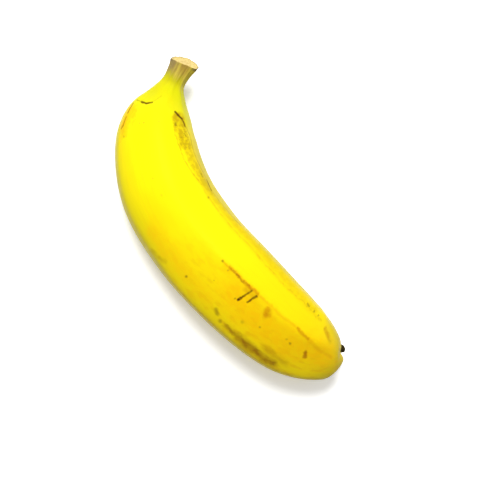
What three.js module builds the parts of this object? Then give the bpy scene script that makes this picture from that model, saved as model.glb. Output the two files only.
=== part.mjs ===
// A ripe banana lying on its side, as picked from its hand. It grew in one piece, so it is one solid:
// the dried blossom nub, the blunt end, the five-sided body, the neck and the cut stem.
// Millimetres and degrees. +Z is up, +X runs from the stem to the blossom end, and the hollow of the
// bend faces +Y. The floor is z = 0.
import * as THREE from "three";
import { mergeVertices } from "three/addons/utils/BufferGeometryUtils.js";

// Driving dimensions
const WIDTH = 39; // across the widest part of the body, in the plane of the bend
const DEPTH = 37; // through the same part, from its underside to its upper side
const STEM_WIDTH = 11.8; // across the flared cut end of the stem
const STEM_DEPTH = 9.6;
const NECK_WIDTH = 9.8; // the narrowest place, just below the cut
const NUB_WIDTH = 3.2; // the dried blossom nub
const NUB_LENGTH = 2.9;
const NUB_SHIFT = 1.7; // how far it sits from the centre line, towards the hollow
const TIP_LEAN = 20.5; // how far the blunt end turns towards the hollow
const TIP_STRETCH = 0.115; // share of the length over which it turns
const FACET_FACING = 12; // the way the flat facet beside the nub faces, from +X towards +Y
const FACET_REACH = 74.5; // how far out that facet lies
const FACET_EDGE = 0.7; // how softly the skin rounds off into it
const CUT_LEAN = 21; // how far the lower half of the cut leans out, so that it shows from above
const LIP_LEAN = -10; // the same for the upper half, which stands level with the line of sight
const CUT_SLANT = 10.5; // how far the cut turns towards the hollow
const STATIONS_PER_STRETCH = 4; // rings between two girth points
const SIDES = 48; // points in each ring

// The centre line as it lies, from the tip of the nub to the cut stem.
const SPINE = [
  [68.2, 21.4, 11.5],
  [55.2, 9.5, 14.5],
  [41.7, 3.05, 16.6],
  [19.5, -3.5, 17.9],
  [-3.5, -8.4, 17.8],
  [-27.7, -8.8, 17.3],
  [-49.3, -0.9, 15.0],
  [-63.0, 13.9, 16.5],
  [-68.7, 24.0, 19.9],
].map((place) => new THREE.Vector3(...place));

// Half-width along the centre line: share of its length, share of the body's half-width.
const GIRTH = [
  [0.014, 0.32],
  [0.03, 0.54],
  [0.06, 0.695],
  [0.12, 0.835],
  [0.19, 0.923],
  [0.3, 0.985],
  [0.42, 1.0],
  [0.56, 0.985],
  [0.65, 0.968],
  [0.73, 0.915],
  [0.8, 0.838],
  [0.86, 0.67],
  [0.905, 0.415],
  [0.94, 0.256],
];

// The five ridges: the angle round the body from straight up towards the hollow of the bend, and how
// far the ridge wanders from it by the two ends.
const RIDGES = [
  { angle: 53, drift: -14 }, // along the edge of the hollow
  { angle: 10, drift: -6 }, // along the upper side
  { angle: -54, drift: 0 }, // along the back of the bend
  { angle: -130, drift: 0 }, // two below, with the face it lies on between them
  { angle: -218, drift: -8 },
];
const RIDGE_SHARPNESS = 16;
const TURN_STRETCH = 0.04; // share of the length over which the sections turn with the centre line

// How angular a section is along the centre line: round at the cut and in the upper body, ridged towards
// the blossom end.
const ANGULARITY = [
  [0, 0],
  [0.02, 0.3],
  [0.1, 0.68],
  [0.36, 0.62],
  [0.6, 0.36],
  [0.8, 0.36],
  [0.94, 0.5],
  [1, 0],
];

const radians = THREE.MathUtils.degToRad;
const facet = new THREE.Vector3(1, 0, 0).applyAxisAngle(new THREE.Vector3(0, 0, 1), radians(FACET_FACING));
const spine = new THREE.CatmullRomCurve3(SPINE, false, "catmullrom");
const length = spine.getLength();

// The way the centre line runs at a share, taken over a short stretch so that sections turn evenly.
function direction(share) {
  const [from, to] = [Math.max(0, share - TURN_STRETCH), Math.min(1, share + TURN_STRETCH)];
  return spine.getPointAt(to).sub(spine.getPointAt(from)).normalize();
}

// The value at a share along a list of [share, value] pairs, eased between neighbours.
function eased(pairs, share) {
  const next = pairs.findIndex(([at]) => at >= share);
  if (next < 1) return (next ? pairs.at(-1) : pairs[0])[1];
  const [[from, low], [to, high]] = [pairs[next - 1], pairs[next]];
  return THREE.MathUtils.lerp(low, high, THREE.MathUtils.smoothstep(share, from, to));
}

// A section as a point [across, up] at an angle: between a circle and a five-sided outline whose soft
// corners are the ridges.
function sectionPoint(angle, share) {
  const wander = (2 * share - 1) ** 2;
  const corners = RIDGES.map((ridge) => radians(ridge.angle + ridge.drift * wander));
  let sum = 0;
  corners.forEach((corner, i) => {
    const next = i + 1 < corners.length ? corners[i + 1] : corners[0] - 2 * Math.PI;
    const reach = Math.max(0, Math.cos(angle - (corner + next) / 2)) / Math.cos((corner - next) / 2);
    sum += reach ** RIDGE_SHARPNESS;
  });
  const radius = THREE.MathUtils.lerp(1, sum ** (-1 / RIDGE_SHARPNESS), eased(ANGULARITY, share));
  return [radius * Math.sin(angle), radius * Math.cos(angle)];
}

// The middle and the half-size of a section, across and up, so that its box can be made two units square.
function sectionBox(share) {
  const points = Array.from({ length: 120 }, (_, i) => sectionPoint(radians(3 * i), share));
  return [0, 1].map((axis) => {
    const reach = points.map((point) => point[axis]);
    const [low, high] = [Math.min(...reach), Math.max(...reach)];
    return { middle: (low + high) / 2, half: (high - low) / 2 };
  });
}

// The straight, round banana that is then ridged and bent: a profile turned about its own axis.
function straightBanana() {
  const halfWidth = WIDTH / 2;
  const body = GIRTH.map(([share, part]) => new THREE.Vector2(part * halfWidth, share * length));
  const profile = new THREE.Path()
    .moveTo(0, 0)
    .lineTo(NUB_WIDTH * 0.4, 0)
    .lineTo(NUB_WIDTH / 2, NUB_LENGTH * 0.4)
    .lineTo(NUB_WIDTH * 0.45, NUB_LENGTH)
    .lineTo(body[0].x, body[0].y)
    .splineThru([
      ...body.slice(1),
      new THREE.Vector2(NECK_WIDTH / 2, length * 0.97),
      new THREE.Vector2(STEM_WIDTH / 2, length),
    ])
    .lineTo(0, length);
  return new THREE.LatheGeometry(profile.getPoints(STATIONS_PER_STRETCH), SIDES);
}

// Moves a point of the straight banana to where it lies on the bent, ridged one.
function grow(point) {
  const share = THREE.MathUtils.clamp(point.y / length, 0, 1);
  const radius = Math.hypot(point.x, point.z);
  const [across, up] = sectionPoint(Math.atan2(point.x, point.z), share);
  const [boxAcross, boxUp] = sectionBox(share);
  const nub = 1 - THREE.MathUtils.smoothstep(share, 0, 0.035);
  const tip = 1 - THREE.MathUtils.smoothstep(share, 0, TIP_STRETCH);
  const stem = THREE.MathUtils.smoothstep(share, 0.86, 1);
  const cut = THREE.MathUtils.smoothstep(share, 0.95, 1);
  const flatness = THREE.MathUtils.lerp(DEPTH / WIDTH, STEM_DEPTH / STEM_WIDTH, stem);
  const aside = radius * ((across - boxAcross.middle) / boxAcross.half);
  const rise = radius * flatness * ((up - boxUp.middle) / boxUp.half);
  const turn = tip * Math.tan(radians(TIP_LEAN)) + cut * Math.tan(radians(CUT_SLANT));
  const lean = cut * Math.tan(radians(rise < 0 ? CUT_LEAN : LIP_LEAN));
  const along = direction(share);
  const inward = along.clone().cross(new THREE.Vector3(0, 0, 1)).normalize();
  const upward = inward.clone().cross(along);
  point
    .copy(spine.getPointAt(share))
    .addScaledVector(inward, aside + nub * NUB_SHIFT)
    .addScaledVector(upward, rise)
    .addScaledVector(along, aside * turn - rise * lean);
  const over = (point.dot(facet) - FACET_REACH) / FACET_EDGE;
  point.addScaledVector(facet, -FACET_EDGE * Math.log1p(Math.exp(over)));
  point.z = Math.max(point.z, 0);
  return point;
}

function bananaGeometry() {
  const geometry = straightBanana();
  const position = geometry.getAttribute("position");
  const point = new THREE.Vector3();
  for (let i = 0; i < position.count; i++) {
    grow(point.fromBufferAttribute(position, i));
    position.setXYZ(i, point.x, point.y, point.z);
  }
  geometry.deleteAttribute("normal");
  geometry.deleteAttribute("uv");
  const merged = mergeVertices(geometry, 1e-4);
  merged.computeVertexNormals();
  return merged;
}

const peel = new THREE.MeshStandardMaterial({ color: 0xf7dc05, roughness: 0.5, metalness: 0 });
const banana = new THREE.Mesh(bananaGeometry(), peel);
banana.name = "banana";

const part = new THREE.Group();
part.add(banana);

export default part;
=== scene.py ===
import logging
import math
from dataclasses import dataclass, field
from enum import Enum

import bmesh
import bpy
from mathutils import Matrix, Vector, noise


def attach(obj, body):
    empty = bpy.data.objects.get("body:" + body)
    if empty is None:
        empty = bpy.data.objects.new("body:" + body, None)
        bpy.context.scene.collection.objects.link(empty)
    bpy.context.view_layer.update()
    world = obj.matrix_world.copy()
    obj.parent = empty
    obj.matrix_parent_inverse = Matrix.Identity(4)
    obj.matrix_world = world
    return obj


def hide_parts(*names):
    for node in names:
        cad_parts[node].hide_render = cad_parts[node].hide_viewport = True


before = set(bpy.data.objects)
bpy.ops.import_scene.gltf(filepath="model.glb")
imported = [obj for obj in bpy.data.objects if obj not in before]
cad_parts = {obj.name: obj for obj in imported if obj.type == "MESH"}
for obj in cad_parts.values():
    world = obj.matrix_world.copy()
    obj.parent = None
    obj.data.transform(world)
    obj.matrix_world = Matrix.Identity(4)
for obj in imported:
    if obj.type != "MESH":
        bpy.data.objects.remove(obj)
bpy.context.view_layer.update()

LOG = logging.getLogger("banana")
MM = 0.001

Pair = tuple[float, float]
Triple = tuple[float, float, float]
Colour = Triple
Socket = bpy.types.NodeSocket


def smooth(value: float, low: float, high: float) -> float:
    """Eases a value from 0 at low to 1 at high.

    Args:
        value: What is eased.
        low: Where the step starts.
        high: Where the step ends.

    Returns:
        A number from 0 to 1.
    """
    share = min(1.0, max(0.0, (value - low) / (high - low)))
    return share * share * (3.0 - 2.0 * share)


def mixed(low: float, high: float, share: float) -> float:
    """Returns the value at a share of the way from low to high."""
    return low + (high - low) * share


def eased(pairs: tuple[Pair, ...], share: float) -> float:
    """Reads a list of (share, value) pairs, eased between neighbours.

    Args:
        pairs: Shares in rising order, each with its value.
        share: Where to read.

    Returns:
        The eased value.
    """
    value = pairs[0][1]
    for (start, low), (end, high) in zip(pairs, pairs[1:]):
        if share > start:
            value = mixed(low, high, smooth(share, start, end))
    return value


def through(before: Vector, start: Vector, end: Vector, after: Vector, share: float) -> Vector:
    """Returns a point of the even curve that runs through start and end.

    Args:
        before: The point before start.
        start: Where the stretch begins.
        end: Where the stretch ends.
        after: The point after end.
        share: How far along the stretch, from 0 to 1.

    Returns:
        The point on the curve.
    """
    leave = (end - before) * 0.5
    arrive = (after - start) * 0.5
    bend = (start - end) * 2.0 + leave + arrive
    lean = (end - start) * 3.0 - leave * 2.0 - arrive
    return ((bend * share + lean) * share + leave) * share + start


@dataclass
class CentreLine:
    """The line through the middle of the fruit as it lies, from the nub to the cut stem."""

    points: tuple[Triple, ...] = (
        (68.2, 21.4, 11.5),
        (55.2, 9.5, 14.5),
        (41.7, 3.05, 16.6),
        (19.5, -3.5, 17.9),
        (-3.5, -8.4, 17.8),
        (-27.7, -8.8, 17.3),
        (-49.3, -0.9, 15.0),
        (-63.0, 13.9, 16.5),
        (-68.7, 24.0, 19.9),
    )
    turn_stretch: float = 0.04
    steps: int = 150
    path: list[Vector] = field(init=False)
    reach: list[float] = field(init=False)

    def __post_init__(self) -> None:
        """Walks the curve once, to measure it."""
        knots = [Vector(point) for point in self.points]
        ends = [knots[0] * 2.0 - knots[1], *knots, knots[-1] * 2.0 - knots[-2]]
        self.path = [
            through(*ends[at:at + 4], step / self.steps)
            for at in range(len(knots) - 1)
            for step in range(self.steps)
        ] + [knots[-1]]
        self.reach = [0.0]
        for last, here in zip(self.path, self.path[1:]):
            self.reach.append(self.reach[-1] + (here - last).length)

    @property
    def length(self) -> float:
        """Length of the line in millimetres."""
        return self.reach[-1]

    def place(self, share: float) -> Vector:
        """Finds a point of the line.

        Args:
            share: Where on the line, as a share of its length.

        Returns:
            The point in millimetres.
        """
        target = min(1.0, max(0.0, share)) * self.length
        low, high = 0, len(self.reach) - 1
        while high - low > 1:
            middle = (low + high) // 2
            low, high = (middle, high) if self.reach[middle] <= target else (low, middle)
        part = (target - self.reach[low]) / (self.reach[high] - self.reach[low])
        return self.path[low].lerp(self.path[high], part)

    def axes(self, share: float) -> tuple[Vector, Vector, Vector]:
        """Gives the way the line runs and the two ways across it.

        Args:
            share: Where on the line.

        Returns:
            Unit vectors along the line, towards the hollow of the bend, and up.
        """
        ahead = self.place(share + self.turn_stretch) - self.place(share - self.turn_stretch)
        along = ahead.normalized()
        inward = along.cross(Vector((0.0, 0.0, 1.0))).normalized()
        return along, inward, inward.cross(along)


@dataclass(frozen=True)
class Section:
    """The five-ridged section: ridge angles run from straight up towards the hollow of the bend."""

    ridges: tuple[Pair, ...] = ((53.0, -14.0), (10.0, -6.0), (-54.0, 0.0), (-130.0, 0.0), (-218.0, -8.0))
    sharpness: float = 16.0
    angularity: tuple[Pair, ...] = (
        (0.0, 0.0),
        (0.02, 0.3),
        (0.1, 0.68),
        (0.36, 0.62),
        (0.6, 0.36),
        (0.8, 0.36),
        (0.94, 0.5),
        (1.0, 0.0),
    )
    box_steps: int = 120

    def ridge(self, at: int, share: float) -> float:
        """Returns the angle of a ridge, which drifts towards both ends of the fruit."""
        angle, drift = self.ridges[at]
        return angle + drift * (2.0 * share - 1.0) ** 2

    def point(self, angle: float, share: float) -> Pair:
        """Finds a point of the section, between a circle and a five-sided outline with soft corners.

        Args:
            angle: Angle round the section, in radians.
            share: Where on the centre line.

        Returns:
            The point across and up, for a section of about one unit.
        """
        corners = [math.radians(self.ridge(at, share)) for at in range(len(self.ridges))]
        corners.append(corners[0] - 2.0 * math.pi)
        total = 0.0
        for corner, following in zip(corners, corners[1:]):
            facing = max(0.0, math.cos(angle - (corner + following) / 2.0))
            total += (facing / math.cos((corner - following) / 2.0)) ** self.sharpness
        radius = mixed(1.0, total ** (-1.0 / self.sharpness), eased(self.angularity, share))
        return radius * math.sin(angle), radius * math.cos(angle)

    def box(self, share: float) -> tuple[Pair, Pair]:
        """Measures the section.

        Args:
            share: Where on the centre line.

        Returns:
            The middle and the half-size, across and then up.
        """
        turn = 360.0 / self.box_steps
        points = [self.point(math.radians(turn * step), share) for step in range(self.box_steps)]
        spans = [(min(axis), max(axis)) for axis in zip(*points)]
        across, up = [((low + high) / 2.0, (high - low) / 2.0) for low, high in spans]
        return across, up


@dataclass(frozen=True)
class Ring:
    """One ring of the straight fruit: its share of the centre line, radius and place on the outline."""

    share: float
    radius: float
    trail: float


@dataclass
class FruitForm:
    """The grown shape of the fruit, as the solid has it."""

    width: float = 39.0
    depth: float = 37.0
    stem_width: float = 11.8
    stem_depth: float = 9.6
    stem_start: float = 0.86
    neck_width: float = 9.8
    neck_share: float = 0.97
    nub_width: float = 3.2
    nub_length: float = 2.9
    nub_shift: float = 1.7
    nub_stretch: float = 0.035
    nub_profile: tuple[Pair, ...] = ((0.0, 0.0), (0.4, 0.0), (0.5, 0.4), (0.45, 1.0))
    tip_lean: float = 20.5
    tip_stretch: float = 0.115
    facet_facing: float = 12.0
    facet_reach: float = 74.5
    facet_edge: float = 0.7
    cut_lean: float = 21.0
    lip_lean: float = -10.0
    cut_slant: float = 10.5
    cut_start: float = 0.95
    ring_gap: float = 0.55
    fewest_rings: int = 9
    nub_rings: tuple[int, ...] = (8, 8, 10, 14)
    cut_rings: int = 18
    girth: tuple[Pair, ...] = (
        (0.014, 0.32),
        (0.03, 0.54),
        (0.06, 0.695),
        (0.12, 0.835),
        (0.19, 0.923),
        (0.3, 0.985),
        (0.42, 1.0),
        (0.56, 0.985),
        (0.65, 0.968),
        (0.73, 0.915),
        (0.8, 0.838),
        (0.86, 0.67),
        (0.905, 0.415),
        (0.94, 0.256),
    )
    centre: CentreLine = field(default_factory=CentreLine)
    section: Section = field(default_factory=Section)

    @property
    def length(self) -> float:
        """Length of the centre line in millimetres."""
        return self.centre.length

    @property
    def facet(self) -> Vector:
        """The way the flat facet beside the nub faces."""
        facing = math.radians(self.facet_facing)
        return Vector((math.cos(facing), math.sin(facing), 0.0))

    def rings(self) -> list[Ring]:
        """Lists the rings from the middle of the nub's tip to the middle of the cut.

        Returns:
            The rings, whose trail is the distance along the outline: in the body, that along the fruit.
        """
        body = [Vector((part * self.width / 2.0, share * self.length)) for share, part in self.girth]
        body.append(Vector((self.neck_width / 2.0, self.length * self.neck_share)))
        body.append(Vector((self.stem_width / 2.0, self.length)))
        nub = [Vector((self.nub_width * aside, self.nub_length * along)) for aside, along in self.nub_profile]
        nub.append(body[0])
        outline: list[Vector] = []
        for start, end, count in zip(nub, nub[1:], self.nub_rings):
            outline += [start.lerp(end, step / count) for step in range(count)]
        first_body = len(outline)
        ends = [body[0], *body, body[-1]]
        for at in range(len(body) - 1):
            count = max(self.fewest_rings, round((body[at + 1] - body[at]).length / self.ring_gap))
            outline += [through(*ends[at:at + 4], step / count) for step in range(count)]
        last_body = len(outline)
        middle = Vector((0.0, self.length))
        outline += [body[-1].lerp(middle, step / self.cut_rings) for step in range(self.cut_rings + 1)]
        rings = []
        for at, spot in enumerate(outline):
            trail = spot.y
            if at < first_body:
                ahead = outline[at:first_body + 1]
                trail = body[0].y - sum((b - a).length for a, b in zip(ahead, ahead[1:]))
            elif at > last_body:
                trail = self.length + body[-1].x - spot.x
            rings.append(Ring(min(1.0, max(0.0, spot.y / self.length)), spot.x, trail))
        return rings

    def girth_at(self, along: float) -> float:
        """Finds the radius of the straight fruit.

        Args:
            along: Distance from the nub's tip, in millimetres.

        Returns:
            The radius in millimetres.
        """
        share = along / self.length
        neck = (self.neck_share, self.neck_width / self.width)
        pairs = (*self.girth, neck, (1.0, self.stem_width / self.width))
        for (start, low), (end, high) in zip(pairs, pairs[1:]):
            if share <= end:
                return mixed(low, high, max(0.0, share - start) / (end - start)) * self.width / 2.0
        return self.stem_width / 2.0


class MarkKind(Enum):
    """What a mark on the peel is."""

    BLUSH = "blush"
    SMUDGE = "smudge"
    STAIN = "stain"
    BRUISE = "bruise"
    SPECK = "speck"
    SCAR = "scar"


@dataclass(frozen=True)
class Mark:
    """A mark on the peel, drawn through points of angle in degrees and distance from the nub's tip."""

    kind: MarkKind
    path: tuple[Pair, ...]
    half_width: float
    edge: float
    strength: float
    sunk: float = 0.0

    def strokes(self, form: FruitForm) -> list[tuple[Pair, Pair]]:
        """Lays the mark out flat.

        Args:
            form: The fruit that carries it.

        Returns:
            The start and the run of each stroke, round and along the peel in millimetres.
        """
        spots = [(math.radians(angle) * form.girth_at(along), along) for angle, along in self.path]
        spots = spots * 2 if len(spots) == 1 else spots
        return [(a, (b[0] - a[0], b[1] - a[1])) for a, b in zip(spots, spots[1:])]


BLUSH, SMUDGE, STAIN, BRUISE, SPECK, SCAR = MarkKind
MARKS: tuple[Mark, ...] = (
    # Warm colour on the lower body
    Mark(BLUSH, ((-8.0, 12.0), (-14.0, 34.0), (-10.0, 54.0)), 4.0, 6.0, 0.85),
    Mark(BLUSH, ((-33.0, 60.0), (-36.0, 92.0)), 1.5, 5.0, 0.5),
    Mark(BLUSH, ((-48.0, 134.0), (-48.0, 127.5)), 1.8, 2.2, 1.0),
    Mark(BLUSH, ((3.5, 40.4), (0.5, 39.2)), 1.3, 1.6, 1.0),
    Mark(BLUSH, ((5.5, 62.0), (4.0, 51.0)), 1.2, 2.6, 0.6),
    # Rubbed band beside the hollow
    Mark(SMUDGE, ((35.0, 137.5), (40.0, 128.0), (42.0, 119.0)), 2.5, 0.9, 1.0),
    Mark(SMUDGE, ((42.0, 119.0), (46.0, 110.0), (51.0, 102.0), (51.0, 93.0)), 1.6, 0.9, 0.7),
    Mark(SMUDGE, ((51.0, 93.0), (50.0, 78.0), (49.0, 60.0)), 1.0, 1.2, 0.45),
    Mark(SMUDGE, ((49.0, 60.0), (45.0, 42.0), (40.0, 24.0)), 1.2, 1.6, 0.4),
    Mark(SMUDGE, ((27.5, 13.5), (20.5, 10.9), (14.0, 9.6)), 0.5, 1.3, 0.7),
    Mark(SMUDGE, ((27.0, 139.0), (28.0, 129.6), (35.0, 111.7), (45.0, 98.0)), 0.3, 0.4, 0.7),
    Mark(SMUDGE, ((45.0, 98.0), (44.0, 85.0), (42.0, 60.0)), 0.25, 0.5, 0.55),
    Mark(SMUDGE, ((42.0, 60.0), (39.0, 42.0), (39.0, 30.0), (34.0, 18.0)), 0.3, 0.7, 0.6),
    Mark(SMUDGE, ((47.0, 136.0), (55.0, 128.0), (52.0, 117.0), (60.0, 102.0)), 0.35, 0.4, 0.95),
    Mark(SMUDGE, ((60.0, 102.0), (56.0, 93.0), (56.0, 72.0)), 0.35, 0.5, 0.8),
    # Stains along the ridges
    Mark(STAIN, ((8.0, 66.0), (8.0, 60.0)), 0.1, 0.6, 0.5),
    Mark(STAIN, ((8.7, 62.0), (8.7, 57.0), (8.2, 52.0), (9.5, 47.5)), 0.4, 0.7, 0.95),
    Mark(STAIN, ((5.0, 52.0), (6.5, 47.5)), 0.5, 1.6, 0.5),
    Mark(STAIN, ((9.5, 47.5), (9.0, 36.0), (9.7, 27.0)), 0.1, 0.8, 0.35),
    Mark(STAIN, ((3.5, 40.2), (0.5, 39.4)), 1.0, 1.4, 0.85),
    Mark(STAIN, ((27.5, 13.5), (20.5, 10.9)), 0.6, 1.0, 0.5),
    Mark(STAIN, ((9.7, 27.0), (5.3, 20.4)), 0.3, 0.7, 0.75),
    Mark(STAIN, ((-19.0, 18.0), (-12.0, 18.5)), 0.5, 0.6, 1.0, 0.1),
    Mark(STAIN, ((5.3, 20.4), (-4.0, 13.0), (-9.7, 8.4)), 0.15, 1.1, 0.3),
    Mark(STAIN, ((-128.0, 88.0), (-131.0, 61.0)), 0.6, 1.6, 0.6),
    Mark(BRUISE, ((-43.5, 47.4), (-44.5, 41.0)), 0.5, 1.4, 0.9, 0.08),
    Mark(BRUISE, ((-44.5, 41.0), (-45.0, 34.0), (-46.0, 30.0), (-45.0, 25.5)), 1.0, 1.9, 1.0, 0.1),
    Mark(BRUISE, ((-33.0, 31.0), (-37.0, 23.0)), 0.5, 2.4, 0.45),
    Mark(BRUISE, ((8.7, 60.0), (8.4, 52.5)), 0.15, 0.5, 0.8),
    Mark(BRUISE, ((-19.0, 18.0), (-12.0, 18.5)), 0.15, 0.9, 0.6),
    Mark(BRUISE, ((-53.0, 86.0), (-46.0, 80.0)), 0.3, 1.2, 0.4),
    Mark(BRUISE, ((139.0, 112.0), (141.0, 99.0)), 0.6, 1.6, 0.5),
    Mark(BRUISE, ((-112.0, 40.0), (-118.0, 33.0)), 0.8, 1.8, 0.5),
    # Specks
    Mark(SPECK, ((-24.0, 130.5),), 0.25, 0.5, 0.35),
    Mark(SPECK, ((-17.0, 130.9),), 0.25, 0.5, 0.4),
    Mark(SPECK, ((4.0, 133.0),), 0.25, 0.5, 0.3),
    Mark(SPECK, ((-45.0, 125.3),), 0.3, 0.5, 0.5),
    Mark(SPECK, ((30.0, 134.5), (30.0, 133.0)), 0.4, 0.5, 0.7),
    Mark(SPECK, ((42.0, 128.2), (44.0, 126.4)), 0.3, 0.5, 0.85),
    Mark(SPECK, ((37.0, 125.0),), 0.2, 0.5, 0.5),
    Mark(SPECK, ((52.0, 103.4), (52.0, 101.8)), 0.3, 0.5, 0.7),
    Mark(SPECK, ((44.0, 91.1),), 0.4, 0.5, 0.6),
    Mark(SPECK, ((-8.0, 107.5),), 0.25, 0.5, 0.25),
    Mark(SPECK, ((-5.0, 100.8),), 0.2, 0.5, 0.25),
    Mark(SPECK, ((-35.0, 70.8),), 0.3, 0.5, 0.85, 0.05),
    Mark(SPECK, ((8.0, 65.9),), 0.3, 0.6, 0.7),
    Mark(SPECK, ((5.0, 61.7),), 0.25, 0.5, 0.55),
    Mark(SPECK, ((-11.0, 52.4),), 0.2, 0.5, 0.7),
    Mark(SPECK, ((-37.0, 54.2), (-40.0, 52.6)), 0.4, 1.0, 0.75),
    Mark(SPECK, ((-44.0, 50.0),), 0.4, 0.9, 0.65),
    Mark(SPECK, ((-26.0, 44.0),), 0.3, 0.9, 0.5),
    Mark(SPECK, ((-16.0, 38.0),), 0.25, 0.5, 0.6),
    Mark(SPECK, ((-8.0, 27.5),), 0.25, 0.5, 0.4),
    Mark(SPECK, ((-10.0, 25.6),), 0.3, 0.5, 0.7),
    Mark(SPECK, ((41.0, 29.0), (40.0, 27.6)), 0.25, 0.6, 0.8),
    Mark(SPECK, ((39.0, 24.1),), 0.25, 0.6, 0.7),
    Mark(SPECK, ((38.0, 20.6),), 0.25, 0.6, 0.7),
    Mark(SPECK, ((-95.0, 104.0),), 0.5, 0.6, 0.6),
    Mark(SPECK, ((103.0, 68.0),), 0.4, 0.6, 0.6),
    # Dry scars
    Mark(SCAR, ((-56.0, 139.0), (-41.0, 138.7)), 0.1, 0.35, 0.6, 0.15),
    Mark(SCAR, ((-41.0, 138.7), (-30.0, 138.8), (-21.0, 140.2)), 0.3, 0.3, 0.95, 0.3),
    Mark(SCAR, ((-21.0, 140.2), (-12.0, 143.9)), 0.1, 0.3, 0.25, 0.12),
    Mark(SCAR, ((28.0, 139.7), (41.0, 137.4)), 0.35, 0.4, 0.98, 0.15),
    Mark(SCAR, ((41.0, 137.4), (46.0, 135.5), (47.0, 133.4)), 0.2, 0.4, 0.9, 0.1),
    Mark(SCAR, ((-55.0, 137.0), (-53.0, 133.6)), 0.2, 0.5, 0.8, 0.1),
    Mark(SCAR, ((-52.0, 132.0), (-51.0, 129.3), (-53.0, 128.1)), 0.15, 0.5, 0.65, 0.1),
    Mark(SCAR, ((59.0, 99.6), (56.0, 93.6)), 0.25, 0.5, 0.75, 0.05),
    Mark(SCAR, ((-10.0, 51.1), (-6.5, 50.9)), 0.45, 0.4, 1.0, 0.15),
    Mark(SCAR, ((-6.5, 50.9), (7.0, 50.1)), 0.27, 0.4, 0.95, 0.12),
    Mark(SCAR, ((-5.0, 48.0), (3.0, 47.6)), 0.27, 0.4, 0.95, 0.12),
    Mark(SCAR, ((3.0, 47.6), (6.5, 47.3)), 0.4, 0.4, 1.0, 0.15),
    Mark(SCAR, ((118.0, 84.0), (127.0, 80.0)), 0.2, 0.35, 0.8, 0.1),
    Mark(SCAR, ((-100.0, 62.0), (-90.0, 60.0)), 0.2, 0.3, 0.7, 0.1),
)


@dataclass(frozen=True)
class Fade:
    """A smooth step in a finish: where it starts, where it ends, and how strong it gets."""

    start: float
    end: float
    top: float = 1.0


class Wiring:
    """Adds nodes to a tree and joins them, so that a finish reads as a list of steps."""

    def __init__(self, tree: bpy.types.NodeTree) -> None:
        """Keeps the tree that the nodes go in."""
        self.tree = tree

    def add(self, kind: str, **settings: object) -> bpy.types.Node:
        """Adds a node.

        Args:
            kind: The node's kind.
            settings: Options to set on it, by name.

        Returns:
            The node.
        """
        node = self.tree.nodes.new(kind)
        for name, value in settings.items():
            setattr(node, name, value)
        return node

    def feed(self, socket: Socket, value: object) -> None:
        """Joins an input to an output, or sets the value it holds.

        Args:
            socket: The input.
            value: An output, a number, a vector or a colour.
        """
        if isinstance(value, bpy.types.NodeSocket):
            self.tree.links.new(value, socket)
        elif isinstance(value, tuple) and socket.type == "RGBA":
            socket.default_value = (*value, 1.0)
        else:
            socket.default_value = value

    def run(self, node: bpy.types.Node, *values: object) -> Socket:
        """Feeds a node's first inputs.

        Args:
            node: The node.
            values: What goes in, in the order of its inputs.

        Returns:
            The node's first output.
        """
        for socket, value in zip(node.inputs, values):
            self.feed(socket, value)
        return node.outputs[0]

    def math(self, operation: str, *values: object) -> Socket:
        """Returns the result of a sum on numbers."""
        return self.run(self.add("ShaderNodeMath", operation=operation), *values)

    def vector(self, operation: str, *values: object) -> Socket:
        """Works out a sum on vectors.

        Args:
            operation: The sum.
            values: What goes in.

        Returns:
            The result, a number or a vector.
        """
        node = self.add("ShaderNodeVectorMath", operation=operation)
        self.run(node, *values)
        return node.outputs["Value" if operation in ("LENGTH", "DISTANCE", "DOT_PRODUCT") else "Vector"]

    def scaled(self, vector: Socket, amount: object) -> Socket:
        """Makes a vector longer or shorter.

        Args:
            vector: The vector.
            amount: What it is multiplied by.

        Returns:
            The new vector.
        """
        node = self.add("ShaderNodeVectorMath", operation="SCALE")
        self.feed(node.inputs["Vector"], vector)
        self.feed(node.inputs["Scale"], amount)
        return node.outputs["Vector"]

    def step(self, value: object, low: object, high: object, top: object = 1.0) -> Socket:
        """Returns a smooth step of a value, from 0 at low to top at high."""
        node = self.add("ShaderNodeMapRange", interpolation_type="SMOOTHSTEP", clamp=False)
        return self.run(node, value, low, high, 0.0, top)

    def fade(self, value: Socket, fade: Fade, origin: float = 0.0) -> Socket:
        """Returns a fade of a value that is measured from an origin."""
        return self.step(value, fade.start + origin, fade.end + origin, fade.top)

    def noise(self, place: Socket, scale: Triple, detail: float = 2.0) -> bpy.types.Node:
        """Adds a noise.

        Args:
            place: The place it is read at.
            scale: Repeats a millimetre in each direction.
            detail: How many finer layers it has.

        Returns:
            The noise's node.
        """
        node = self.add("ShaderNodeTexNoise")
        self.feed(node.inputs["Vector"], self.vector("MULTIPLY", place, scale))
        self.feed(node.inputs["Scale"], 1.0)
        self.feed(node.inputs["Detail"], detail)
        return node

    def mix(self, share: object, first: object, second: object) -> Socket:
        """Mixes two colours.

        Args:
            share: How much of the second colour shows.
            first: The first colour.
            second: The second colour.

        Returns:
            The colour between them.
        """
        node = self.add("ShaderNodeMix", data_type="RGBA")
        self.feed(node.inputs[0], share)
        self.feed(node.inputs[6], first)
        self.feed(node.inputs[7], second)
        return node.outputs[2]


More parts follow.
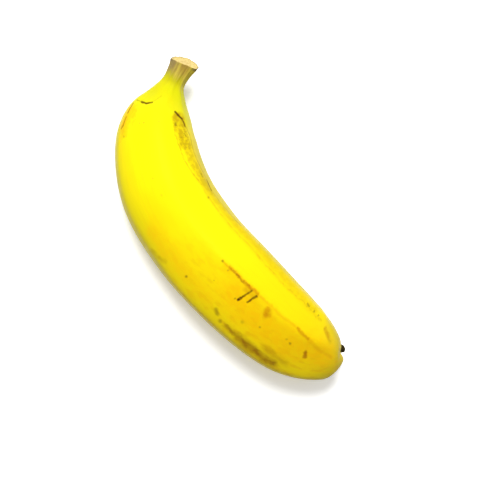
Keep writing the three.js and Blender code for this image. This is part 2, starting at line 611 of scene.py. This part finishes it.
class PeelPlaces:
    """The places on the straight fruit that its finish reads, and the noises laid over them."""

    ragged_reach: float = 6.0
    sway_share: float = 2.0

    def __init__(self, wires: Wiring, strand_radius: float) -> None:
        """Reads the straight place kept on the mesh.

        Args:
            wires: The material's wiring.
            strand_radius: Radius at which the stem's strands are laid, so that they run straight.
        """
        self.straight = wires.add("ShaderNodeAttribute", attribute_name="Straight").outputs["Vector"]
        parts = wires.add("ShaderNodeSeparateXYZ")
        wires.feed(parts.inputs[0], self.straight)
        self.across, up, self.trail = parts.outputs
        spoke = wires.vector("MULTIPLY", self.straight, (1.0, 1.0, 0.0))
        flat = wires.add("ShaderNodeCombineXYZ")
        turn = wires.math("ARCTAN2", self.across, up)
        wires.run(flat, wires.math("MULTIPLY", turn, wires.vector("LENGTH", spoke)), self.trail, 0.0)
        self.flat = flat.outputs[0]
        lift = wires.vector("MULTIPLY", self.straight, (0.0, 0.0, 1.0))
        stem = wires.vector("ADD", wires.scaled(wires.vector("NORMALIZE", spoke), strand_radius), lift)

        grain = wires.noise(self.straight, (1.1, 1.1, 0.8), 3.0)
        sway = wires.noise(self.straight, (0.3, 0.3, 0.2), 2.0)
        self.grain = grain.outputs[0]
        self.broad = wires.noise(self.straight, (0.07, 0.07, 0.045), 2.0).outputs[0]
        self.mottle = wires.noise(self.straight, (0.5, 0.5, 0.22), 4.0).outputs[0]
        self.patches = wires.noise(self.straight, (0.65, 0.65, 0.45), 3.0).outputs[0]
        self.threads = wires.noise(self.straight, (1.3, 1.3, 0.07), 3.0).outputs[0]
        self.strands = wires.noise(stem, (1.3, 1.3, 0.06), 3.0).outputs[0]
        swing = wires.math("ADD", self.strands, -0.5)
        self.ragged = wires.math("MULTIPLY_ADD", swing, self.ragged_reach, self.trail)
        middle = (0.5, 0.5, 0.5)
        fine = wires.vector("SUBTRACT", grain.outputs["Color"], middle)
        wide = wires.vector("SUBTRACT", sway.outputs["Color"], middle)
        self.jitter = wires.vector("ADD", fine, wires.scaled(wide, self.sway_share))


def stroke_group() -> bpy.types.NodeTree:
    """Makes the node group that draws one stroke of a mark.

    Returns:
        A group that gives how much a stroke covers a place on the flat peel.
    """
    group = bpy.data.node_groups.new("Stroke", "ShaderNodeTree")
    for name, kind in (
        ("Place", "NodeSocketVector"),
        ("Start", "NodeSocketVector"),
        ("Run", "NodeSocketVector"),
        ("Grip", "NodeSocketFloat"),
        ("Inner", "NodeSocketFloat"),
        ("Outer", "NodeSocketFloat"),
        ("Strength", "NodeSocketFloat"),
        ("So far", "NodeSocketFloat"),
    ):
        group.interface.new_socket(name=name, in_out="INPUT", socket_type=kind)
    group.interface.new_socket(name="Cover", in_out="OUTPUT", socket_type="NodeSocketFloat")
    wires = Wiring(group)
    given = wires.add("NodeGroupInput").outputs
    away = wires.vector("SUBTRACT", given["Place"], given["Start"])
    share = wires.math("MULTIPLY", wires.vector("DOT_PRODUCT", away, given["Run"]), given["Grip"])
    share = wires.math("MINIMUM", wires.math("MAXIMUM", share, 0.0), 1.0)
    distance = wires.vector("DISTANCE", away, wires.scaled(given["Run"], share))
    cover = wires.step(distance, given["Outer"], given["Inner"], given["Strength"])
    result = wires.math("MAXIMUM", cover, given["So far"])
    wires.feed(wires.add("NodeGroupOutput").inputs["Cover"], result)
    return group


@dataclass(frozen=True)
class MarkFinish:
    """How one kind of mark looks: its colour, and how ragged in millimetres and how patchy it is."""

    kind: MarkKind
    colour: Colour
    ragged: float
    patchy: float


@dataclass(frozen=True)
class FreckleFinish:
    """Fine freckles in cells over the whole peel, thicker in some parts. Sizes are shares of a cell."""

    colour: Colour = (0.32, 0.2, 0.006)
    cells: Triple = (0.24, 0.24, 0.2)
    size: float = 0.11
    core: float = 0.4
    drift: float = 0.3
    chance: Fade = Fade(0.94, 1.08, 0.6)

    def dress(self, wires: Wiring, peel: PeelPlaces, colour: Socket) -> Socket:
        """Scatters the freckles.

        Args:
            wires: The material's wiring.
            peel: The places and noises of the peel.
            colour: The peel's colour so far.

        Returns:
            The freckled colour.
        """
        cells = wires.add("ShaderNodeTexVoronoi")
        wires.feed(cells.inputs["Vector"], wires.vector("MULTIPLY", peel.straight, self.cells))
        wires.feed(cells.inputs["Scale"], 1.0)
        pick = wires.add("ShaderNodeSeparateColor")
        wires.feed(pick.inputs[0], cells.outputs["Color"])
        size = wires.math("MULTIPLY", pick.outputs[1], self.size)
        dot = wires.step(cells.outputs["Distance"], size, wires.math("MULTIPLY", size, self.core))
        chance = wires.math("MULTIPLY_ADD", peel.broad, self.drift, pick.outputs[0])
        cover = wires.math("MULTIPLY", dot, wires.fade(chance, self.chance))
        return wires.mix(cover, colour, self.colour)


@dataclass(frozen=True)
class StemFinish:
    """Olive collar, dry brown stem with painted light on its side towards the hollow, and pale cut. A reach
    is measured from the cut, below 0 in the stem.
    """

    collar: Colour = (0.54, 0.5, 0.012)
    collar_reach: Fade = Fade(-12.0, -6.5)
    shoulder_reach: Fade = Fade(-22.0, -12.0)
    shoulder_side: Fade = Fade(-1.0, -6.0, 0.5)
    bark: Colour = (0.37, 0.24, 0.05)
    bark_reach: Fade = Fade(-8.0, -3.5)
    fibre: Colour = (0.62, 0.49, 0.075)
    fibre_lines: Fade = Fade(0.3, 0.68)
    russet: Colour = (0.43, 0.27, 0.045)
    russet_reach: Fade = Fade(-5.0, -1.0, 0.7)
    russet_side: Fade = Fade(-1.0, 1.0)
    grey: Colour = (0.3, 0.225, 0.1)
    grey_side: Fade = Fade(-0.5, -4.0, 0.75)
    # Painted light: a paler colour that lifts the shaded side of the stem towards the hollow.
    pale: Colour = (0.72, 0.6, 0.06)
    painted_light_reach: Fade = Fade(-12.0, -8.0)
    painted_light_side: Fade = Fade(2.4, 4.4, 0.8)
    rim: Colour = (0.24, 0.18, 0.08)
    rim_reach: Fade = Fade(-1.8, -0.4)
    rim_sides: Fade = Fade(3.6, 5.4, 0.75)
    rim_least: float = 0.2
    cut: Colour = (0.68, 0.53, 0.21)
    cut_reach: Fade = Fade(0.15, 0.7)
    pith: Colour = (0.56, 0.42, 0.15)
    pith_spots: Fade = Fade(0.45, 0.62)

    def dress(self, wires: Wiring, peel: PeelPlaces, colour: Socket, length: float) -> tuple[Socket, Socket]:
        """Colours the stem and its cut.

        Args:
            wires: The material's wiring.
            peel: The places and noises of the peel.
            colour: The peel's colour so far.
            length: Length of the fruit, to its cut.

        Returns:
            The colour, and how woody the surface is.
        """
        shoulder = wires.fade(peel.ragged, self.shoulder_reach, length)
        shoulder = wires.math("MULTIPLY", shoulder, wires.fade(peel.across, self.shoulder_side))
        colour = wires.mix(shoulder, colour, self.collar)
        colour = wires.mix(wires.fade(peel.ragged, self.collar_reach, length), colour, self.collar)
        bark = wires.mix(wires.fade(peel.strands, self.fibre_lines), self.bark, self.fibre)
        near_cut = wires.fade(peel.trail, self.russet_reach, length)
        burnt = wires.math("MULTIPLY", near_cut, wires.fade(peel.across, self.russet_side))
        bark = wires.mix(burnt, bark, self.russet)
        bark = wires.mix(wires.fade(peel.across, self.grey_side), bark, self.grey)
        woody = wires.fade(peel.ragged, self.bark_reach, length)
        colour = wires.mix(woody, colour, bark)
        # Painted light on the shaded side of the stem towards the hollow.
        up_stem = wires.fade(peel.trail, self.painted_light_reach, length)
        pale = wires.math("MULTIPLY", wires.fade(peel.across, self.painted_light_side), up_stem)
        colour = wires.mix(pale, colour, self.pale)
        sides = wires.fade(wires.math("ABSOLUTE", peel.across), self.rim_sides)
        edge = wires.fade(peel.trail, self.rim_reach, length)
        rim = wires.math("MULTIPLY", wires.math("ADD", sides, self.rim_least), edge)
        colour = wires.mix(rim, colour, self.rim)
        flesh = wires.mix(wires.fade(peel.grain, self.pith_spots), self.cut, self.pith)
        return wires.mix(wires.fade(peel.trail, self.cut_reach, length), colour, flesh), woody


@dataclass(frozen=True)
class NubFinish:
    """Dark dry nub in a browned dimple. A reach is measured along the outline, below 0 by the nub."""

    dimple: Colour = (0.22, 0.14, 0.01)
    dimple_reach: Fade = Fade(0.0, -3.0, 0.6)
    nub: Colour = (0.03, 0.02, 0.006)
    nub_reach: Fade = Fade(-2.2, -3.2)

    def dress(self, wires: Wiring, peel: PeelPlaces, colour: Socket) -> tuple[Socket, Socket]:
        """Colours the nub and its dimple.

        Args:
            wires: The material's wiring.
            peel: The places and noises of the peel.
            colour: The peel's colour so far.

        Returns:
            The colour, and how much of it is the nub.
        """
        colour = wires.mix(wires.fade(peel.trail, self.dimple_reach), colour, self.dimple)
        nub = wires.fade(peel.trail, self.nub_reach)
        return wires.mix(nub, colour, self.nub), nub


@dataclass(frozen=True)
class PeelFinish:
    """Ripe marked peel, yellow with a greener neck and ochre towards the hollow; painted shade darkens the
    sides to olive. Colours are linear.

    A reach is measured from the nub's tip, and a side from the middle towards the hollow, in millimetres.
    Patches and lines are levels of a noise.
    """

    tip: Colour = (0.62, 0.49, 0.006)
    lower: Colour = (0.92, 0.7, 0.004)
    lower_reach: Fade = Fade(2.0, 18.0)
    upper: Colour = (0.92, 0.78, 0.004)
    upper_reach: Fade = Fade(40.0, 110.0)
    neck: Colour = (0.62, 0.61, 0.005)
    neck_reach: Fade = Fade(126.0, 148.0)
    # Painted shade: darker olive on the outer side of the bend, which faces away from the light.
    back_shade: Colour = (0.52, 0.44, 0.006)
    back_shade_side: Fade = Fade(-8.0, -18.0, 0.4)
    # Ochre peel towards the hollow, darkened further as painted shade where that side is turned from the
    # light.
    hollow: Colour = (0.72, 0.54, 0.005)
    hollow_ochre_and_shade_side: Fade = Fade(10.0, 17.0, 0.7)
    # Painted shade: a dark olive band along the edge of the hollow side.
    hollow_edge_shade: Colour = (0.55, 0.47, 0.005)
    hollow_edge_shade_side: Fade = Fade(13.0, 18.0, 0.6)
    warm: Colour = (0.92, 0.62, 0.004)
    warm_patches: Fade = Fade(0.45, 0.68, 0.25)
    fleck: Colour = (0.7, 0.4, 0.004)
    fleck_patches: Fade = Fade(0.47, 0.66, 0.5)
    fleck_reach: Fade = Fade(100.0, 40.0)
    fleck_side: Fade = Fade(8.0, -6.0)
    thread: Colour = (0.7, 0.52, 0.006)
    thread_lines: Fade = Fade(0.5, 0.75, 0.15)
    sheen: Colour = (1.0, 0.86, 0.12)
    specular: float = 0.1
    roughness: float = 0.46
    roughness_spread: float = 0.12
    dry_roughness: float = 0.85
    bump_strength: float = 0.35
    bump_depth: float = 0.25
    bump_grain: float = 0.3
    strand_radius: float = 5.5
    patch_edges: Pair = (0.38, 0.6)
    marks: tuple[MarkFinish, ...] = (
        MarkFinish(BLUSH, (0.92, 0.53, 0.003), 3.0, 0.3),
        MarkFinish(SMUDGE, (0.52, 0.36, 0.004), 0.7, 0.5),
        MarkFinish(STAIN, (0.56, 0.22, 0.003), 0.6, 0.25),
        MarkFinish(BRUISE, (0.34, 0.16, 0.004), 1.2, 0.25),
        MarkFinish(SPECK, (0.22, 0.15, 0.006), 0.5, 0.2),
        MarkFinish(SCAR, (0.09, 0.033, 0.003), 0.4, 0.25),
    )
    freckles: FreckleFinish = FreckleFinish()
    stem: StemFinish = StemFinish()
    nub: NubFinish = NubFinish()

    def material(self, form: FruitForm) -> bpy.types.Material:
        """Makes the peel's material.

        Args:
            form: The fruit it covers, which gives the places of its marks.

        Returns:
            The material.
        """
        material = bpy.data.materials.new("Peel")
        material.use_nodes = True
        wires = Wiring(material.node_tree)
        shader = material.node_tree.nodes["Principled BSDF"]
        peel = PeelPlaces(wires, self.strand_radius)
        colour = self.ground(wires, peel)
        covers = {}
        for look in self.marks:
            covers[look.kind] = self.cover(wires, peel, form, look)
            colour = wires.mix(covers[look.kind], colour, look.colour)
        colour = self.freckles.dress(wires, peel, colour)
        colour, woody = self.stem.dress(wires, peel, colour, form.length)
        colour, nub = self.nub.dress(wires, peel, colour)
        dry = wires.math("MAXIMUM", woody, nub)
        wires.feed(shader.inputs["Base Color"], colour)
        worn = wires.math("MAXIMUM", dry, covers[SCAR])
        smoothest = self.roughness - self.roughness_spread / 2.0
        rough = wires.math("MULTIPLY_ADD", worn, self.dry_roughness - self.roughness, smoothest)
        rough = wires.math("MULTIPLY_ADD", peel.grain, self.roughness_spread, rough)
        wires.feed(shader.inputs["Roughness"], rough)
        shader.inputs["Specular IOR Level"].default_value = self.specular
        shader.inputs["Specular Tint"].default_value = (*self.sheen, 1.0)
        self.raise_grain(wires, peel, shader)
        return material

    def ground(self, wires: Wiring, peel: PeelPlaces) -> Socket:
        """Colours the clean peel from the blossom end to the neck, with painted shade darkening both sides.

        Args:
            wires: The material's wiring.
            peel: The places and noises of the peel.

        Returns:
            The colour of the clean peel.
        """
        colour: object = self.tip
        for level, fade, paint in (
            (peel.ragged, self.lower_reach, self.lower),
            (peel.ragged, self.upper_reach, self.upper),
            (peel.ragged, self.neck_reach, self.neck),
            # Painted shade on the outer side and along the hollow edge; the hollow side mixes ochre peel with
            # painted shade.
            (peel.across, self.back_shade_side, self.back_shade),
            (peel.across, self.hollow_ochre_and_shade_side, self.hollow),
            (peel.across, self.hollow_edge_shade_side, self.hollow_edge_shade),
            (peel.broad, self.warm_patches, self.warm),
        ):
            colour = wires.mix(wires.fade(level, fade), colour, paint)
        blossom_end = wires.fade(peel.trail, self.fleck_reach)
        where = wires.math("MULTIPLY", blossom_end, wires.fade(peel.across, self.fleck_side))
        flecks = wires.math("MULTIPLY", wires.fade(peel.mottle, self.fleck_patches), where)
        colour = wires.mix(flecks, colour, self.fleck)
        return wires.mix(wires.fade(peel.threads, self.thread_lines), colour, self.thread)

    def cover(self, wires: Wiring, peel: PeelPlaces, form: FruitForm, look: MarkFinish) -> Socket:
        """Draws all the marks of one kind.

        Args:
            wires: The material's wiring.
            peel: The places and noises of the peel.
            form: The fruit that carries the marks.
            look: The kind of mark and how it looks.

        Returns:
            How much the marks cover the place.
        """
        group = bpy.data.node_groups.get("Stroke") or stroke_group()
        place = wires.vector("ADD", peel.flat, wires.scaled(peel.jitter, look.ragged))
        cover: object = 0.0
        for mark in MARKS:
            if mark.kind is not look.kind:
                continue
            for start, run in mark.strokes(form):
                span = run[0] ** 2 + run[1] ** 2
                cover = wires.run(
                    wires.add("ShaderNodeGroup", node_tree=group),
                    place,
                    (*start, 0.0),
                    (*run, 0.0),
                    1.0 / span if span else 0.0,
                    max(0.0, mark.half_width - mark.edge / 2.0),
                    mark.half_width + mark.edge,
                    mark.strength,
                    cover,
                )
        patches = wires.step(peel.patches, *self.patch_edges, look.patchy)
        return wires.math("MULTIPLY", cover, wires.math("ADD", patches, 1.0 - look.patchy))

    def raise_grain(self, wires: Wiring, peel: PeelPlaces, shader: bpy.types.Node) -> None:
        """Gives the peel the relief that is finer than the mesh.

        Args:
            wires: The material's wiring.
            peel: The places and noises of the peel.
            shader: The shader that shows it.
        """
        bump = wires.add("ShaderNodeBump")
        bump.inputs["Strength"].default_value = self.bump_strength
        bump.inputs["Distance"].default_value = self.bump_depth * MM
        height = wires.math("MULTIPLY_ADD", peel.grain, self.bump_grain, peel.strands)
        wires.feed(bump.inputs["Height"], height)
        wires.feed(shader.inputs["Normal"], bump.outputs[0])


Dent = tuple[Pair, Pair, Mark]


@dataclass(frozen=True)
class Wrinkle:
    """A noise in the skin: its height in millimetres, its repeats across and along, and its shift."""

    height: float
    across: float
    along: float = 0.0
    shift: float = 0.0

    def rise(self, x: float, y: float, trail: float) -> float:
        """Returns the height at a place."""
        place = Vector((x * self.across, y * self.across, trail * self.along + self.shift))
        return self.height * noise.noise(place)


@dataclass(frozen=True)
class SkinRelief:
    """How the skin stands out from the plain form, in millimetres.

    A reach is measured along the fruit from its blossom end, or from its cut for what is on neck and stem.
    """

    skin: Wrinkle = Wrinkle(0.14, 0.09, 0.045)
    skin_reach: Pair = (4.0, 20.0)
    skin_start: float = -2.0
    neck: Wrinkle = Wrinkle(0.2, 3.1, 0.06)
    neck_reach: Pair = (-34.0, -12.0)
    stem: Wrinkle = Wrinkle(0.22, 7.0, 0.05, 9.0)
    stem_reach: Pair = (-14.0, -5.0)
    rim: Wrinkle = Wrinkle(0.35, 2.3, 0.0, 4.0)
    rim_reach: Pair = (-2.2, 0.0)
    tip: Wrinkle = Wrinkle(0.12, 3.6, 0.2)
    tip_reach: Pair = (9.0, 2.0)
    nub: Wrinkle = Wrinkle(0.25, 2.6, 1.0)
    nub_base: float = -2.4
    nub_end: Wrinkle = Wrinkle(0.3, 1.1, 0.0, 7.0)
    nub_end_reach: Pair = (-2.8, -4.8)
    lobe_height: float = 0.16
    lobe_count: float = 5.0
    lobe_turn: float = 0.6
    pole_radius: float = 1.5
    crest_ridge: int = 1
    crest_height: float = 0.35
    crest_width: float = 2.2
    crest_start: Pair = (4.0, 16.0)
    crest_end: Pair = (84.0, 48.0)
    cut: Wrinkle = Wrinkle(0.3, 0.5, 0.0, 2.0)
    cut_reach: Pair = (-1.5, 0.0)
    core: Wrinkle = Wrinkle(0.16, 1.9, 0.0, 5.0)
    core_reach: Pair = (0.2, 2.2)
    core_depth: float = 0.45
    core_share: float = 0.6
    shoulder_place: float = 2.6
    shoulder_width: float = 1.6
    shoulder_depth: float = 0.3
    ridge_angle: float = -37.0
    ridge_height: float = 0.95
    ridge_focus: int = 14
    groove_angle: float = -7.0
    groove_depth: float = 0.7
    groove_focus: int = 40
    dimple_depth: float = 0.5
    dimple_reach: Pair = (1.6, -1.6)

    def outward(self, form: FruitForm, ring: Ring, angle: float, dents: list[Dent]) -> float:
        """Finds how far the skin stands out from the centre line.

        Args:
            form: The plain form.
            ring: The point's ring.
            angle: Its angle round the ring, in radians.
            dents: The strokes of the sunken marks.

        Returns:
            The height in millimetres, below 0 where it is sunk.
        """
        side, top = math.sin(angle), math.cos(angle)
        trail, from_cut = ring.trail, ring.trail - form.length
        height = self.skin.rise(ring.radius * side, ring.radius * top, trail)
        height *= smooth(trail, *self.skin_reach)
        height += self.neck.rise(side, top, trail) * smooth(from_cut, *self.neck_reach)
        height += self.stem.rise(side, top, trail) * smooth(from_cut, *self.stem_reach)
        height += self.rim.rise(side, top, trail) * smooth(from_cut, *self.rim_reach)
        height += self.tip.rise(side, top, trail) * smooth(trail, *self.tip_reach)
        if trail < self.nub_base:
            lobes = self.lobe_height * math.cos(self.lobe_count * angle + self.lobe_turn)
            height += (lobes + self.nub.rise(side, top, trail)) * min(1.0, ring.radius)
        if ring.radius < self.core_share * form.stem_width / 2.0 and from_cut > 0.0:
            height = 0.0
        if not self.skin_start < trail < form.length:
            return height * min(1.0, ring.radius / self.pole_radius)
        away = (angle - math.radians(form.section.ridge(self.crest_ridge, ring.share))) * ring.radius
        crest = smooth(trail, *self.crest_start) * smooth(trail, *self.crest_end)
        height += self.crest_height * crest * math.exp(-((away / self.crest_width) ** 2))
        return height - self.sunk(angle * ring.radius, trail, dents)

    def sunk(self, around: float, trail: float, dents: list[Dent]) -> float:
        """Finds how deep the sunken marks are.

        Args:
            around: The place round the peel, in millimetres.
            trail: The place along the peel.
            dents: The strokes of the sunken marks.

        Returns:
            The depth in millimetres.
        """
        depth = 0.0
        for start, run, mark in dents:
            reach = mark.half_width + mark.edge
            east, north = around - start[0], trail - start[1]
            span = run[0] ** 2 + run[1] ** 2
            part = min(1.0, max(0.0, (east * run[0] + north * run[1]) / span)) if span else 0.0
            gap = math.hypot(east - run[0] * part, north - run[1] * part)
            if gap < reach:
                depth += mark.sunk * smooth(reach - gap, 0.0, reach)
        return depth

    def ahead(self, form: FruitForm, ring: Ring, angle: float) -> float:
        """Finds how far the cut, the blunt end and the nub are moved along the fruit.

        Args:
            form: The plain form.
            ring: The point's ring.
            angle: Its angle round the ring, in radians.

        Returns:
            The distance in millimetres, above 0 towards the stem.
        """
        x, y = ring.radius * math.sin(angle), ring.radius * math.cos(angle)
        trail, from_cut = ring.trail, ring.trail - form.length
        if from_cut > self.cut_reach[0]:
            fibres = self.core.rise(x, y, trail) - self.core_depth
            cut = self.cut.rise(x, y, trail) * smooth(from_cut, *self.cut_reach)
            return cut + fibres * smooth(from_cut, *self.core_reach)
        ridge = max(0.0, math.cos(angle - math.radians(self.ridge_angle))) ** self.ridge_focus
        groove = max(0.0, math.cos(angle - math.radians(self.groove_angle))) ** self.groove_focus
        shoulder = self.shoulder_depth - self.ridge_height * ridge + self.groove_depth * groove
        shoulder *= math.exp(-(((trail - self.shoulder_place) / self.shoulder_width) ** 2))
        nub = smooth(trail, *self.nub_end_reach)
        dimple = self.dimple_depth * smooth(trail, *self.dimple_reach) * (1.0 - nub)
        return shoulder + dimple + nub * self.nub_end.rise(x, y, trail)


@dataclass
class Fruit:
    """The whole fruit: its form, the relief of its skin, and its peel."""

    name: str = "banana_fruit"
    columns: int = 240
    merge_distance: float = 1e-7
    form: FruitForm = field(default_factory=FruitForm)
    relief: SkinRelief = SkinRelief()
    finish: PeelFinish = PeelFinish()

    def build(self) -> bpy.types.Object:
        """Rolls a grid into the fruit and dresses it.

        Returns:
            The finished piece.
        """
        rings = self.form.rings()
        mesh = bmesh.new()
        mesh.loops.layers.uv.new("OFBake")
        bmesh.ops.create_grid(
            mesh, x_segments=self.columns, y_segments=len(rings) - 1, size=0.5, calc_uvs=True
        )
        straight = mesh.verts.layers.float_vector.new("Straight")
        boxes = [self.form.section.box(ring.share) for ring in rings]
        axes = [self.form.centre.axes(ring.share) for ring in rings]
        dents = self.dents()
        for vert in mesh.verts:
            angle = vert.co.x * 2.0 * math.pi
            at = round((vert.co.y + 0.5) * (len(rings) - 1))
            ring = rings[at]
            vert[straight] = (ring.radius * math.sin(angle), ring.radius * math.cos(angle), ring.trail)
            vert.co = self.spot(ring, angle, boxes[at], axes[at], dents) * MM
        bmesh.ops.remove_doubles(mesh, verts=mesh.verts, dist=self.merge_distance)
        bmesh.ops.recalc_face_normals(mesh, faces=mesh.faces)
        for face in mesh.faces:
            face.smooth = True
        data = bpy.data.meshes.new(self.name)
        mesh.to_mesh(data)
        mesh.free()
        data.materials.append(self.finish.material(self.form))
        piece = bpy.data.objects.new(self.name, data)
        bpy.context.scene.collection.objects.link(piece)
        return piece

    def dents(self) -> list[Dent]:
        """Lists the strokes of the marks that sink into the peel."""
        sunken = [mark for mark in MARKS if mark.sunk]
        return [(start, run, mark) for mark in sunken for start, run in mark.strokes(self.form)]

    def spot(
        self,
        ring: Ring,
        angle: float,
        box: tuple[Pair, Pair],
        axes: tuple[Vector, Vector, Vector],
        dents: list[Dent],
    ) -> Vector:
        """Moves a point of the straight fruit to where it lies.

        Args:
            ring: The point's ring.
            angle: Its angle round the ring, in radians.
            box: The section's box there.
            axes: The ways along, inward and up there.
            dents: The strokes of the sunken marks.

        Returns:
            The place in millimetres.
        """
        form, share = self.form, ring.share
        across, up = form.section.point(angle, share)
        radius = ring.radius + self.relief.outward(form, ring, angle, dents)
        nub = 1.0 - smooth(share, 0.0, form.nub_stretch)
        tip = 1.0 - smooth(share, 0.0, form.tip_stretch)
        cut = smooth(share, form.cut_start, 1.0)
        stem = smooth(share, form.stem_start, 1.0)
        flatness = mixed(form.depth / form.width, form.stem_depth / form.stem_width, stem)
        aside = radius * (across - box[0][0]) / box[0][1]
        rise = radius * flatness * (up - box[1][0]) / box[1][1]
        turn = tip * math.tan(math.radians(form.tip_lean)) + cut * math.tan(math.radians(form.cut_slant))
        lean = cut * math.tan(math.radians(form.cut_lean if rise < 0.0 else form.lip_lean))
        ahead = aside * turn - rise * lean + self.relief.ahead(form, ring, angle)
        along, inward, upward = axes
        place = form.centre.place(share) + inward * (aside + nub * form.nub_shift)
        place += upward * rise + along * ahead
        over = (place.dot(form.facet) - form.facet_reach) / form.facet_edge
        place -= form.facet * form.facet_edge * math.log1p(math.exp(over))
        place.z = max(place.z, 0.0)
        return place


@dataclass(frozen=True)
class FloorFinish:
    """Plain pale matt floor, lit a little from below as a light table is; ambient occlusion dims that glow
    near the fruit as a painted contact shadow.
    """

    colour: Colour = (0.85, 0.85, 0.85)
    glow: float = 0.72
    far_glow: float = 0.86
    near: float = 0.3
    far: float = 2.0
    painted_shadow_reach: float = 0.016
    roughness: float = 0.9

    def material(self) -> bpy.types.Material:
        """Makes the floor's material.

        Returns:
            The material.
        """
        material = bpy.data.materials.new("Floor")
        material.use_nodes = True
        shader = material.node_tree.nodes["Principled BSDF"]
        shader.inputs["Base Color"].default_value = (*self.colour, 1.0)
        shader.inputs["Roughness"].default_value = self.roughness
        shader.inputs["Specular IOR Level"].default_value = 0.0
        shader.inputs["Emission Color"].default_value = (1.0, 1.0, 1.0, 1.0)
        wires = Wiring(material.node_tree)
        distance = wires.vector("LENGTH", wires.add("ShaderNodeTexCoord").outputs["Object"])
        rise = wires.step(distance, self.near, self.far, self.far_glow - self.glow)
        # Painted contact shadow: ambient occlusion dims the floor's glow near the fruit.
        cover = wires.add("ShaderNodeAmbientOcclusion")
        cover.inputs["Distance"].default_value = self.painted_shadow_reach
        glow = wires.math("MULTIPLY", wires.math("ADD", rise, self.glow), cover.outputs["AO"])
        wires.feed(shader.inputs["Emission Strength"], glow)
        return material


@dataclass
class Studio:
    """The floor, the soft light and the camera that looks straight down."""

    turn: float = 60.0
    aim: Pair = (5.6, 7.6)
    aim_height: float = 18.0
    lens: float = 85.0
    sensor: float = 36.0
    view_width: float = 198.7
    key_distance: float = 0.9
    key_tilt: float = 27.0
    key_size: float = 0.4
    key_power: float = 10.9
    ceiling: float = 0.02
    ceiling_edge: Pair = (0.1, 0.3)
    walls: float = 0.9
    table: float = 0.6
    table_edge: Pair = (0.0, -0.5)
    floor_size: float = 6.0
    floor: FloorFinish = field(default_factory=FloorFinish)

    def build(self) -> None:
        """Makes the floor, the light and the camera."""
        self.lay_floor()
        self.hang_softbox()
        self.light_room()
        self.set_camera()

    def lay_floor(self) -> None:
        """Lays a wide floor at the height the fruit lies on."""
        mesh = bmesh.new()
        bmesh.ops.create_grid(mesh, x_segments=1, y_segments=1, size=self.floor_size / 2.0)
        data = bpy.data.meshes.new("floor")
        mesh.to_mesh(data)
        mesh.free()
        data.materials.append(self.floor.material())
        piece = bpy.data.objects.new("floor", data)
        piece.visible_diffuse = False
        piece.visible_shadow = False
        bpy.context.scene.collection.objects.link(piece)

    def hang_softbox(self) -> None:
        """Hangs one wide soft light overhead, leaning to the top of the picture."""
        light = bpy.data.lights.new("softbox", "AREA")
        light.shape = "DISK"
        light.size = self.key_size
        light.energy = self.key_power
        box = bpy.data.objects.new("softbox", light)
        heading = math.radians(self.turn + 90.0)
        tilt = math.radians(self.key_tilt)
        level = Vector((math.cos(heading), math.sin(heading), 0.0))
        away = level * math.sin(tilt) + Vector((0.0, 0.0, math.cos(tilt)))
        box.location = away * self.key_distance
        box.rotation_euler = away.to_track_quat("Z", "Y").to_euler()
        bpy.context.scene.collection.objects.link(box)

    def light_room(self) -> None:
        """Lights the room softly: dark overhead, pale walls, and the glow of the table from below."""
        world = bpy.data.worlds.new("room")
        world.use_nodes = True
        wires = Wiring(world.node_tree)
        height = wires.add("ShaderNodeSeparateXYZ")
        wires.feed(height.inputs[0], wires.add("ShaderNodeTexCoord").outputs["Generated"])
        below = wires.step(height.outputs["Z"], *self.table_edge, self.table - self.walls)
        above = wires.step(height.outputs["Z"], *self.ceiling_edge, self.walls - self.ceiling)
        glow = wires.math("SUBTRACT", wires.math("ADD", below, self.walls), above)
        wires.feed(world.node_tree.nodes["Background"].inputs["Strength"], glow)
        world.node_tree.nodes["Background"].inputs["Color"].default_value = (1.0, 1.0, 1.0, 1.0)
        bpy.context.scene.world = world
        bpy.context.scene.view_settings.view_transform = "Standard"

    def set_camera(self) -> None:
        """Sets the camera over the fruit, turned so that the stem is at the top of the picture."""
        lens = bpy.data.cameras.new("camera")
        lens.lens = self.lens
        lens.sensor_width = self.sensor
        camera = bpy.data.objects.new("camera", lens)
        distance = self.view_width * self.lens / self.sensor
        camera.location = Vector((*self.aim, self.aim_height + distance)) * MM
        camera.rotation_euler = (0.0, 0.0, math.radians(self.turn))
        bpy.context.scene.collection.objects.link(camera)
        bpy.context.scene.camera = camera


def main() -> None:
    """Builds the scene and reports each piece."""
    logging.basicConfig(level=logging.INFO, format="%(name)s: %(message)s")
    Studio().build()
    LOG.info("studio is set")
    fruit = Fruit()
    piece = fruit.build()
    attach(piece, "root")
    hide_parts("banana")
    LOG.info("%s has %d faces", piece.name, len(piece.data.polygons))


if __name__ == "__main__":
    main()
